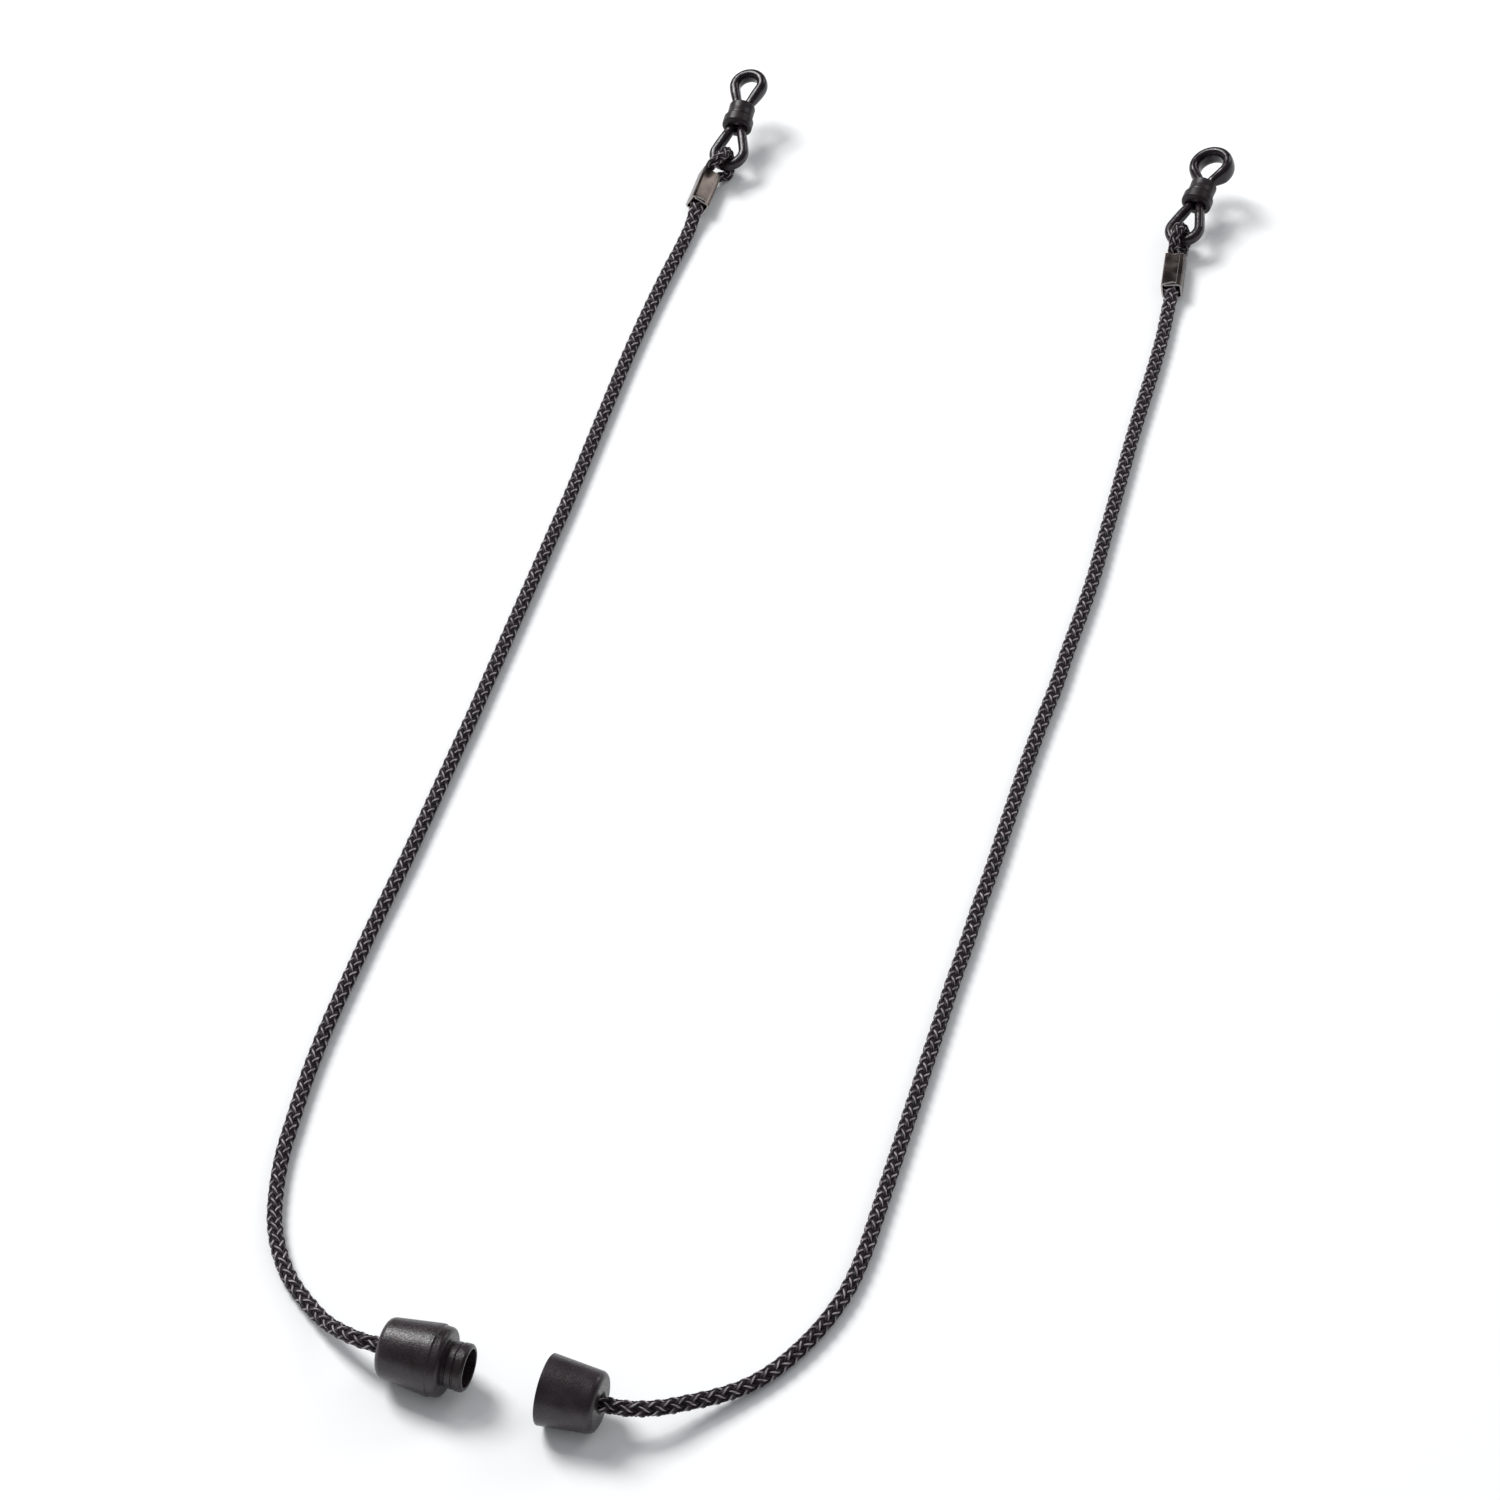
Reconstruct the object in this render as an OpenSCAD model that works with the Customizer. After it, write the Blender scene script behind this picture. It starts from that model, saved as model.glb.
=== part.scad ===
// Eyeglass retainer strap, laid out flat as a U with its breakaway clasp apart.
// Two braided cords run from the clasp to two rubber temple loops.
// +X runs along the clasp, +Y from the clasp to the temple loops, and Z = 0 is the surface below.

/* [Cord] */
// Diameter of the braided cord
cord_d = 3; // [2.8:0.1:3]
// Diameter of the cord where it is pulled tight around the rubber loop
eye_d = 2.5; // [2.4:0.1:2.5]

/* [Clasp] */
// Diameter of the plug half at its widest
plug_d = 12.8; // [12.6:0.1:12.8]
// Diameter of the plug half at the cord end
plug_end_d = 10.4; // [9.6:0.2:10.8]
// Length of the plug half's barrel
barrel_len = 10; // [9:0.2:10]
// Length that the spigot stands out of the shoulder
spigot_len = 3.8; // [3.6:0.1:3.8]
// Inner diameter of the spigot
spigot_bore = 6.8; // [6.4:0.2:6.8]
// Diameter of the socket half at its mouth
socket_d = 12.6; // [12.4:0.1:12.8]
// Diameter of the socket half at the cord end
socket_end_d = 10.8; // [10:0.2:11]
// Length of the socket half
socket_len = 10; // [10:0.2:11]

/* [Crimps] */
// Width of a crimp across its broad face
crimp_w = 4.3; // [4.3:0.1:4.6]
// Thickness of a crimp without its overlapping leaf
crimp_t = 3.3; // [3.3:0.1:3.5]
// Length of a crimp
crimp_len = 11; // [10.4:0.2:11]
// Sheet thickness of a crimp
crimp_wall = 0.4; // [0.3:0.05:0.4]

/* [Rubber loops] */
// Width of the rubber band, along the arm that it grips
band_w = 2.2; // [1.8:0.1:2.2]
// Thickness of the rubber band
band_t = 1.9; // [1.7:0.1:1.9]
// Centreline radius of the left temple loop
left_temple_r = 3; // [2.8:0.1:3.6]
// Centreline radius of the right temple loop
right_temple_r = 3.7; // [3:0.1:3.8]
// Outer diameter of the cinch sleeve
sleeve_d = 5.6; // [5.5:0.1:6]
// Length of the cinch sleeve
sleeve_len = 3.4; // [3:0.1:3.4]
// Outer diameter of the retaining ring
ring_d = 6.4; // [6:0.1:6.6]

/* [Hidden] */
$fn = 64;
plastic = [0.11, 0.1, 0.11];
black_nickel = [0.3, 0.28, 0.26];
rubber = [0.05, 0.05, 0.06];
braid = [0.09, 0.09, 0.11];

// Clasp, both halves on one axis
axis_y = -181;
axis_z = 6.4;
plug_x = 7.2;
socket_x = 36.6;
cord_hole_r = cord_d / 2 + 0.15;
hole_flare = 0.5;
edge_steps = 5;
plug_end_round = 1.4;
plug_wall = 2.4;
shoulder_len = 1.8;
shoulder_round = 1.5;
shoulder_step = 0.2;
belt_len = 1;
belt_drop = 0.05;
edge_len = 0.3;
land_chamfer = 0.15;
neck_r = 3.9;
neck_len = 0.6;
collar_r = 4.1;
collar_len = 1.2;
groove_r = 3.95;
groove_len = 0.3;
bead_r = 4.2;
lip_len = 0.4;
lip_r = 3.8;
socket_mouth_round = 0.5;
socket_end_round = 1.2;
socket_wall = 2.2;
mouth_r = 5.95;
mouth_rim = 0.05;
mouth_bevel = 0.2;
mouth_bevel_r = 0.3;
lead_in = 1;
ridge_r = 4.95;
ridge_len = 0.7;
ridge_back = 0.4;
cavity_r = 5.1;
knot_r = 2.6;
knot_lobe = 1.2;
knot_second_turn = 3.12;
knot_tip = 4.44;
knot_gap = 0.15;

// Crimps: place of the lower end, heading from +Y towards -X, roll about the cord
left_crimp_at = [-48.9, 139, 2.75];
left_crimp_heading = 5;
left_crimp_roll = 30;
right_crimp_at = [53.6, 144.4, 2.2];
right_crimp_heading = 11;
right_crimp_roll = -8;
leaf_t = 0.35;
leaf_w = 3.2;
leg_r = 0.8;
leg_offset = 0.85;
leg_depth = 5;

// Fittings: place of the pivot in the cord eye, heading, pitch of the loop end, roll
left_pivot = [-47.3, 152.7, 4.1];
left_heading = 5.4;
left_pitch = 15;
left_roll = -10;
right_pivot = [51.1, 159, 4.1];
right_heading = -2.8;
right_pitch = 13;
right_roll = -14;

// Rubber loop, measured along its own axis from the pivot
band_chamfer = 0.4;
weld = 0.02;
strand_offset = 1.2;
fillet_r = 2;
small_r = 3.2;
small_height = 11;
temple_height = 9.6;
ring_len = 2.6;
ring_round = 0.9;
ring_sweep = 80;
bore_lead = 0.15;
bore_lead_len = 0.2;
sleeve_rim = 0.3;
sleeve_rim_drop = 0.2;
collar_gap = 0.05;
collar_bore_r = 2.36;
neck_from = small_height - band_t / 2;
sleeve_from = neck_from + ring_len + collar_gap;
neck_to = sleeve_from + sleeve_len;
bight_r = 2.95;
bight_step = 22.5;
bend_share = 0.55;
upper_rise = 0.9;
lower_sag = 0.3;

// Routes of the cord centrelines, from the knot in the clasp to the crimp
left_route = [
    [9.9, -181, 6.4], [7.2, -181, 6.4], [3.4, -180.7, 6], [-1, -179, 4.7], [-5.4, -176.4, 3],
    [-10.6, -172.4, 1.9], [-15.6, -168, 1.5], [-19.6, -163, 1.5], [-23, -157, 1.5],
    [-25.6, -150, 1.5], [-27.8, -142, 1.5], [-29.4, -133, 1.5], [-30.8, -124, 1.5],
    [-32, -114, 1.5], [-32.8, -104, 1.5], [-33.4, -94, 1.5], [-34, -84, 1.5],
    [-34.4, -74, 1.5], [-34.8, -64, 1.5], [-35.4, -54, 1.5], [-36, -44, 1.5],
    [-36.6, -34, 1.5], [-37.2, -24, 1.5], [-38, -13, 1.5], [-38.8, -2, 1.5],
    [-39.6, 9, 1.5], [-40.4, 20, 1.5], [-41.2, 31, 1.5], [-42, 42, 1.5],
    [-43, 53, 1.5], [-44, 64, 1.5], [-45, 75, 1.5], [-46, 86, 1.5], [-46.8, 97, 1.5],
    [-47.4, 108, 1.5], [-47.8, 118, 1.5], [-48, 127, 1.5], [-48.4, 134, 1.8]
];
right_route = [
    [43.9, -181, 6.4], [46.6, -181, 6.4], [51, -180.3, 6.1], [55.6, -177.6, 5], [59.6, -173.8, 3.7],
    [63.4, -170, 2.6], [67, -165.8, 1.8], [70.2, -160.8, 1.5], [72.8, -155, 1.5],
    [75, -148, 1.5], [76.4, -140, 1.5], [76.6, -131, 1.5], [76, -122, 1.5],
    [75.2, -112, 1.5], [74.4, -102, 1.5], [73.6, -92, 1.5], [72.8, -82, 1.5],
    [72, -72, 1.5], [71.2, -62, 1.5], [70.6, -52, 1.5], [69.8, -42, 1.5],
    [69.2, -32, 1.5], [68.4, -22, 1.5], [67.6, -12, 1.5], [66.8, -1, 1.5],
    [66.2, 10, 1.5], [65.8, 21, 1.5], [65, 32, 1.5], [64.4, 43, 1.5],
    [63.6, 54, 1.5], [62.4, 65, 1.5], [61.2, 76, 1.5], [60, 87, 1.5], [58.8, 98, 1.5],
    [57.8, 109, 1.5], [56.8, 120, 1.5], [55.6, 131, 1.5], [54.4, 139, 1.7]
];
cord_sides = 8;
crimped_r = 1.1;
cord_depth = 3;
mouth_outside = 1;
mouth_inside = 0.4;
mouth_squeeze = 0.1;

// A point given in a frame that is rolled, then pitched, then turned to its heading
function rolled(p, a) = [p.x * cos(a) + p.z * sin(a), p.y, p.z * cos(a) - p.x * sin(a)];
function pitched(p, a) = [p.x, p.y * cos(a) - p.z * sin(a), p.y * sin(a) + p.z * cos(a)];
function turned(p, a) = [p.x * cos(a) - p.y * sin(a), p.x * sin(a) + p.y * cos(a), p.z];
function placed(p, at, heading, pitch, roll) = at + turned(pitched(rolled(p, roll), pitch), heading);

function unit(v) = v / norm(v);
function next_index(i, n) = min(i + 1, n - 1);

// Direction of a route at one of its points
function heading_at(pts, i) = unit(pts[next_index(i, len(pts))] - pts[max(i - 1, 0)]);

// Sideways direction carried along a route without twist
function side_at(pts, i) =
    let (t = heading_at(pts, i), s = i == 0 ? cross(t, [0, 0, 1]) : side_at(pts, i - 1))
    unit(s - t * (s * t));

// Closed tube with one ring of corners at each point of a route
module tube(pts, radii, sides) {
    n = len(pts);
    corners = [
        for (i = [0:n - 1])
        let (s = side_at(pts, i), u = cross(s, heading_at(pts, i)))
        for (k = [0:sides - 1])
        pts[i] + radii[i] * (s * cos(360 * k / sides) + u * sin(360 * k / sides))
    ];
    walls = [
        for (i = [0:n - 2])
        for (k = [0:sides - 1])
        let (a = i * sides + k, b = i * sides + (k + 1) % sides)
        [a, b, b + sides, a + sides]
    ];
    start_cap = [for (k = [sides - 1:-1:0]) k];
    end_cap = [for (k = [0:sides - 1]) (n - 1) * sides + k];
    polyhedron(points = corners, faces = concat([start_cap], walls, [end_cap]));
}

// Points of an arc in a profile, from one angle to another
function arc(c, r, from, to, steps = edge_steps) =
    [for (i = [0:steps]) let (a = from + (to - from) * i / steps) c + r * [cos(a), sin(a)]];

// A profile of [radius, distance along +X] turned about the clasp axis
module turned_on_clasp(x, profile) {
    translate([x, axis_y, axis_z])
    rotate([0, 90, 0])
    rotate_extrude()
    polygon(profile);
}

module plug_shell() {
    shoulder = barrel_len + shoulder_len;
    end_r = plug_end_d / 2;
    shoulder_r = plug_d / 2 - shoulder_step - shoulder_round;
    color(plastic)
    turned_on_clasp(plug_x, concat(
        [[cord_hole_r + hole_flare, 0]],
        arc([end_r - plug_end_round, plug_end_round], plug_end_round, -90, 0),
        [
            [plug_d / 2 - belt_drop, barrel_len - belt_len],
            [plug_d / 2, barrel_len - edge_len],
            [shoulder_r + shoulder_round, barrel_len]
        ],
        arc([shoulder_r, shoulder - shoulder_round], shoulder_round, 0, 90),
        [
            [spigot_bore / 2, shoulder],
            [spigot_bore / 2, plug_wall],
            [cord_hole_r, plug_wall],
            [cord_hole_r, hole_flare]
        ]
    ));
}

// Hollow spigot on the plug half's shoulder, with the collar and bead that the socket snaps over
module plug_spigot() {
    shoulder = barrel_len + shoulder_len;
    collar = shoulder + neck_len;
    bead = collar + collar_len + groove_len;
    tip = shoulder + spigot_len;
    color(plastic)
    turned_on_clasp(plug_x, [
        [spigot_bore / 2, shoulder],
        [neck_r, shoulder],
        [neck_r, collar],
        [collar_r, collar + land_chamfer],
        [collar_r, bead - groove_len],
        [groove_r, bead - groove_len],
        [groove_r, bead],
        [bead_r, bead + land_chamfer],
        [bead_r, tip - lip_len],
        [lip_r, tip],
        [spigot_bore / 2, tip]
    ]);
}

module socket_shell() {
    mouth_edge = socket_d / 2 - socket_mouth_round;
    end_r = socket_end_d / 2;
    floor_at = socket_len - socket_wall;
    color(plastic)
    turned_on_clasp(socket_x, concat(
        [[mouth_edge - mouth_rim, 0]],
        arc([mouth_edge, socket_mouth_round], socket_mouth_round, -90, 0),
        arc([end_r - socket_end_round, socket_len - socket_end_round], socket_end_round, 0, 90),
        [
            [cord_hole_r + hole_flare, socket_len],
            [cord_hole_r, socket_len - hole_flare],
            [cord_hole_r, floor_at],
            [cavity_r, floor_at],
            [cavity_r, lead_in + ridge_len + ridge_back],
            [ridge_r, lead_in + ridge_len],
            [ridge_r, lead_in],
            [mouth_r - mouth_bevel_r, mouth_bevel]
        ]
    ));
}

// Stopper knot with two turns, its flat back against the end wall of a clasp half
module cord_knot(x, dir) {
    centre = knot_r - knot_lobe;
    color(braid)
    translate([x, axis_y, axis_z])
    rotate([0, 90 * dir, 0])
    rotate_extrude()
    polygon(concat(
        [[0, 0], [centre, 0]],
        arc([centre, knot_lobe], knot_lobe, -60, 60),
        arc([centre, knot_second_turn], knot_lobe, -40, 75),
        [[0, knot_tip]]
    ));
}

module left_cord_knot() {
    cord_knot(plug_x + plug_wall + knot_gap, 1);
}

module right_cord_knot() {
    cord_knot(socket_x + socket_len - socket_wall - knot_gap, -1);
}

// Cord tube that follows its route into the crimp and narrows where the crimp squeezes it
module cord(route, at, heading, roll) {
    mouth = placed([0, -mouth_outside, 0], at, heading, 0, roll);
    inside = placed([0, mouth_inside, 0], at, heading, 0, roll);
    deep = placed([0, cord_depth, 0], at, heading, 0, roll);
    pts = concat(route, [mouth, inside, deep]);
    radii = concat([for (p = route) cord_d / 2], [cord_d / 2 - mouth_squeeze, crimped_r, crimped_r]);
    color(braid)
    tube(pts, radii, cord_sides);
}

module left_cord() {
    cord(left_route, left_crimp_at, left_crimp_heading, left_crimp_roll);
}

module right_cord() {
    cord(right_route, right_crimp_at, right_crimp_heading, right_crimp_roll);
}

// Sheet-metal sleeve wrapped round the folded cord, with its outer leaf lapped over one face
module crimp(at, heading, roll) {
    color(black_nickel)
    translate(at)
    rotate([0, roll, heading])
    rotate([-90, 0, 0])
    linear_extrude(crimp_len)
    difference() {
        union() {
            square([crimp_w, crimp_t], center = true);
            translate([-crimp_w / 2, -crimp_t / 2 - leaf_t])
            square([leaf_w, leaf_t + crimp_wall]);
        }
        square([crimp_w - 2 * crimp_wall, crimp_t - 2 * crimp_wall], center = true);
    }
}

module left_crimp() {
    crimp(left_crimp_at, left_crimp_heading, left_crimp_roll);
}

module right_crimp() {
    crimp(right_crimp_at, right_crimp_heading, right_crimp_roll);
}

// End of the cord folded back round the rubber loop, with both legs held in the crimp
module cord_eye(c_at, c_heading, c_roll, p_at, p_heading, p_pitch, p_roll) {
    leg_ends = [for (y = [crimp_len - leg_depth, crimp_len]) y];
    upper = [for (y = leg_ends) placed([-leg_offset, y, 0], c_at, c_heading, 0, c_roll)];
    lower = [for (y = leg_ends) placed([leg_offset, y, 0], c_at, c_heading, 0, c_roll)];
    bight = [
        for (a = [90:-bight_step:-90])
        placed([0, bight_r * cos(a), bight_r * sin(a)], p_at, p_heading, p_pitch, p_roll)
    ];
    low = bight[len(bight) - 1];
    upper_bend = upper[1] * (1 - bend_share) + bight[0] * bend_share + [0, 0, upper_rise];
    lower_bend = lower[1] * (1 - bend_share) + low * bend_share - [0, 0, lower_sag];
    pts = concat(upper, [upper_bend], bight, [lower_bend, lower[1], lower[0]]);
    radii = concat([leg_r, leg_r, eye_d / 2], [for (p = bight) eye_d / 2], [eye_d / 2, leg_r, leg_r]);
    color(braid)
    tube(pts, radii, cord_sides);
}

module left_cord_eye() {
    cord_eye(
        left_crimp_at, left_crimp_heading, left_crimp_roll,
        left_pivot, left_heading, left_pitch, left_roll
    );
}

module right_cord_eye() {
    cord_eye(
        right_crimp_at, right_crimp_heading, right_crimp_roll,
        right_pivot, right_heading, right_pitch, right_roll
    );
}

// Children drawn in a fitting's own frame: +Y from the pivot to the temple loop, +Z out of the loop
module in_fitting(at, heading, pitch, roll) {
    translate(at)
    rotate([0, 0, heading])
    rotate([pitch, 0, 0])
    rotate([0, roll, 0])
    children();
}

module in_left_fitting() {
    in_fitting(left_pivot, left_heading, left_pitch, left_roll)
    children();
}

module in_right_fitting() {
    in_fitting(right_pivot, right_heading, right_pitch, right_roll)
    children();
}

// Section of the rubber band, a flat strip with its corners taken off
module band_section() {
    t = band_t / 2;
    w = band_w / 2;
    c = band_chamfer;
    polygon([
        [t, w - c], [t - c, w], [c - t, w], [-t, w - c],
        [-t, c - w], [c - t, -w], [t - c, -w], [t, c - w]
    ]);
}

module band_arc(centre, r, from, to) {
    translate(centre)
    rotate(from)
    rotate_extrude(angle = to - from)
    translate([r, 0])
    band_section();
}

// Straight stretch of band, a little longer at both ends so that it fuses with its neighbours
module band_run(from, to) {
    run = to - from;
    translate(from - weld * unit(run))
    rotate([90, 0, 90 + atan2(run.y, run.x)])
    linear_extrude(norm(run) + 2 * weld)
    band_section();
}

// Angle by which a strand leans out between the neck and a round end at the given height
function lean(r, height) =
    let (across = strand_offset + fillet_r)
    atan2(height, across) - acos((r + fillet_r) / norm([across, height]));

// Round end of the loop with its two strands, starting from the neck at y = 0
module loop_end(r, height) {
    a = lean(r, height);
    fillet_end = [
        strand_offset + fillet_r * (1 - cos(a)),
        fillet_r * sin(a)
    ];
    round_start = [r * cos(a), height - r * sin(a)];
    band_arc([0, height], r, -a, 180 + a);
    for (side = [0, 1])
    mirror([side, 0, 0]) {
        band_run(fillet_end, round_start);
        band_arc([strand_offset + fillet_r, 0], fillet_r, 180 - a, 180);
    }
}

// One endless rubber band, pinched at the neck into a small loop and a temple loop
module rubber_loop(temple_r) {
    color(rubber)
    union() {
        translate([0, neck_from, 0])
        mirror([0, 1, 0])
        loop_end(small_r, neck_from - small_r);
        for (x = [-strand_offset, strand_offset])
        band_run([x, neck_from], [x, neck_to]);
        translate([0, neck_to, 0])
        loop_end(temple_r, temple_height - temple_r - band_t / 2);
    }
}

module left_rubber_loop() {
    in_left_fitting()
    rubber_loop(left_temple_r);
}

module right_rubber_loop() {
    in_right_fitting()
    rubber_loop(right_temple_r);
}

// A profile of [radius, distance along the fitting] turned about the neck
module turned_on_neck(y, profile) {
    translate([0, y, 0])
    rotate([-90, 0, 0])
    rotate_extrude()
    polygon(profile);
}

// Bulged ring that stops the sleeve and closes the small loop
module retaining_ring() {
    bulge = ring_d / 2 - ring_round;
    color(rubber)
    turned_on_neck(neck_from, concat(
        [[collar_bore_r, bore_lead_len], [collar_bore_r + bore_lead, 0]],
        arc([bulge, ring_round], ring_round, -ring_sweep, 0),
        arc([bulge, ring_len - ring_round], ring_round, 0, ring_sweep),
        [[collar_bore_r + bore_lead, ring_len], [collar_bore_r, ring_len - bore_lead_len]]
    ));
}

module left_retaining_ring() {
    in_left_fitting()
    retaining_ring();
}

module right_retaining_ring() {
    in_right_fitting()
    retaining_ring();
}

// Short tube that slides up the neck and tightens the temple loop
module cinch_sleeve() {
    r = sleeve_d / 2;
    color(rubber)
    turned_on_neck(sleeve_from, [
        [collar_bore_r, 0],
        [r, 0],
        [r, sleeve_len - sleeve_rim],
        [r - sleeve_rim_drop, sleeve_len],
        [collar_bore_r, sleeve_len]
    ]);
}

module left_cinch_sleeve() {
    in_left_fitting()
    cinch_sleeve();
}

module right_cinch_sleeve() {
    in_right_fitting()
    cinch_sleeve();
}

plug_shell();
plug_spigot();
socket_shell();
left_cord();
right_cord();
left_cord_knot();
right_cord_knot();
left_crimp();
right_crimp();
left_cord_eye();
right_cord_eye();
left_rubber_loop();
right_rubber_loop();
left_retaining_ring();
right_retaining_ring();
left_cinch_sleeve();
right_cinch_sleeve();
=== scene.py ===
from math import cos, pi, radians, sin, tau

import bpy
import numpy as np
from mathutils import Matrix, Vector


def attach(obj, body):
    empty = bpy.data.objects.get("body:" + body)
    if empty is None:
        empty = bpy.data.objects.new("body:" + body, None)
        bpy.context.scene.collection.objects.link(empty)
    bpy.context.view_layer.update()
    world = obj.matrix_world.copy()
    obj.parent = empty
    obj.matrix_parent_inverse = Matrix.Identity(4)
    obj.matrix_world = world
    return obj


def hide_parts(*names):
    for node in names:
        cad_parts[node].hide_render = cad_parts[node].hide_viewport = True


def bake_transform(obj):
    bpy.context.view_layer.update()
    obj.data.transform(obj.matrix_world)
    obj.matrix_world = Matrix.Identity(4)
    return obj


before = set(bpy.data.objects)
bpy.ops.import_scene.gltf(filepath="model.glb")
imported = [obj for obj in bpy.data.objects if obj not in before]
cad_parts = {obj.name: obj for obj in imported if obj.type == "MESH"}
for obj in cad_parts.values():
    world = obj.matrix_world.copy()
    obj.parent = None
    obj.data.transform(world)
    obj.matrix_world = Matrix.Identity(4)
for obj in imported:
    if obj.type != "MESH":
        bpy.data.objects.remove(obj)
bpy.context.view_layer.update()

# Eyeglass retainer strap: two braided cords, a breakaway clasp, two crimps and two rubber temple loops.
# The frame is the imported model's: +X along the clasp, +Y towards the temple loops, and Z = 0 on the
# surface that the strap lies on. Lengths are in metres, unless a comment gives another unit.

MM = 0.001

# Camera: the view turned to the right of straight ahead and looking down on the strap
CAMERA_TARGET = Vector((0.0155, -0.0137, 0))
CAMERA_AZIMUTH = 19
CAMERA_ELEVATION = 43
CAMERA_DISTANCE = 1.1
CAMERA_LENS_MM = 138.6

# Studio: the floor, the lamps' distance from the camera's target, and the strength of the room's light
FLOOR_SIZE = 6
LIGHT_DISTANCE = 3
ROOM_LIGHT = 0.44
ROOM_REFLECTION = 0.12

# Cords: routes from the knot in the clasp to the crimp, as in the part's source
CORD_D = 3 * MM
LEFT_ROUTE = [
    (0.0099, -0.181, 0.0064), (0.0072, -0.181, 0.0064), (0.0034, -0.1807, 0.006), (-0.001, -0.179, 0.0047),
    (-0.0054, -0.1764, 0.003), (-0.0106, -0.1724, 0.0019), (-0.0156, -0.168, 0.0015),
    (-0.0196, -0.163, 0.0015), (-0.023, -0.157, 0.0015), (-0.0256, -0.15, 0.0015),
    (-0.0278, -0.142, 0.0015), (-0.0294, -0.133, 0.0015), (-0.0308, -0.124, 0.0015),
    (-0.032, -0.114, 0.0015), (-0.0328, -0.104, 0.0015), (-0.0334, -0.094, 0.0015),
    (-0.034, -0.084, 0.0015), (-0.0344, -0.074, 0.0015), (-0.0348, -0.064, 0.0015),
    (-0.0354, -0.054, 0.0015), (-0.036, -0.044, 0.0015), (-0.0366, -0.034, 0.0015),
    (-0.0372, -0.024, 0.0015), (-0.038, -0.013, 0.0015), (-0.0388, -0.002, 0.0015),
    (-0.0396, 0.009, 0.0015), (-0.0404, 0.02, 0.0015), (-0.0412, 0.031, 0.0015), (-0.042, 0.042, 0.0015),
    (-0.043, 0.053, 0.0015), (-0.044, 0.064, 0.0015), (-0.045, 0.075, 0.0015), (-0.046, 0.086, 0.0015),
    (-0.0468, 0.097, 0.0015), (-0.0474, 0.108, 0.0015), (-0.0478, 0.118, 0.0015), (-0.048, 0.127, 0.0015),
    (-0.0484, 0.134, 0.0018),
]
RIGHT_ROUTE = [
    (0.0439, -0.181, 0.0064), (0.0466, -0.181, 0.0064), (0.051, -0.1803, 0.0061), (0.0556, -0.1776, 0.005),
    (0.0596, -0.1738, 0.0037), (0.0634, -0.17, 0.0026), (0.067, -0.1658, 0.0018), (0.0702, -0.1608, 0.0015),
    (0.0728, -0.155, 0.0015), (0.075, -0.148, 0.0015), (0.0764, -0.14, 0.0015), (0.0766, -0.131, 0.0015),
    (0.076, -0.122, 0.0015), (0.0752, -0.112, 0.0015), (0.0744, -0.102, 0.0015), (0.0736, -0.092, 0.0015),
    (0.0728, -0.082, 0.0015), (0.072, -0.072, 0.0015), (0.0712, -0.062, 0.0015), (0.0706, -0.052, 0.0015),
    (0.0698, -0.042, 0.0015), (0.0692, -0.032, 0.0015), (0.0684, -0.022, 0.0015), (0.0676, -0.012, 0.0015),
    (0.0668, -0.001, 0.0015), (0.0662, 0.01, 0.0015), (0.0658, 0.021, 0.0015), (0.065, 0.032, 0.0015),
    (0.0644, 0.043, 0.0015), (0.0636, 0.054, 0.0015), (0.0624, 0.065, 0.0015), (0.0612, 0.076, 0.0015),
    (0.06, 0.087, 0.0015), (0.0588, 0.098, 0.0015), (0.0578, 0.109, 0.0015), (0.0568, 0.12, 0.0015),
    (0.0556, 0.131, 0.0015), (0.0544, 0.139, 0.0017),
]

# Braid, in radii of its cord: eight flat strands, four each way, one over and one under
STRANDS_EACH_WAY = 4
BRAID_PITCH = 7.5
BRAID_MID = 0.64
BRAID_WAVE = 0.17
BRAID_RING = 0.25
# Outline of a strand (across, outwards) from its inner face round to the other edge
STRAND = [
    (-0.28, -0.16), (0.28, -0.16), (0.43, -0.02), (0.33, 0.1), (0.075, 0.15),
    (0.04, 0.19), (-0.04, 0.19), (-0.075, 0.15), (-0.33, 0.1), (-0.43, -0.02),
]
# Columns of the strand's middle ridge that are coloured pale: a painted highlight along each strand
PAINTED_GLINT_COLUMNS = (4, 5, 6)
CORE_R = 0.55

# Clasp: the axis and each half's place on it
AXIS_Y = -0.181
AXIS_Z = 0.0064
PLUG_X = 7.2 * MM
SOCKET_X = 36.6 * MM

# Clasp, in mm: distances are from PLUG_X or SOCKET_X
CORD_HOLE_R = 1.65
HOLE_FLARE = 0.5
PLUG_WALL = 2.4
BARREL_LEN = 10
SHOULDER_AT = 11.8
TIP_AT = 15.6
SPIGOT_BORE_R = 3.42
NECK_R = 3.9
COLLAR_R = 4.15
GROOVE_R = 3.93
BEAD_R = 4.25
SOCKET_LEN = 10
SOCKET_WALL = 2.2
SOCKET_FLOOR = SOCKET_LEN - SOCKET_WALL
CAVITY_R = 5.1
RIDGE_R = 4.95
KNOT_GAP = 0.15

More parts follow.
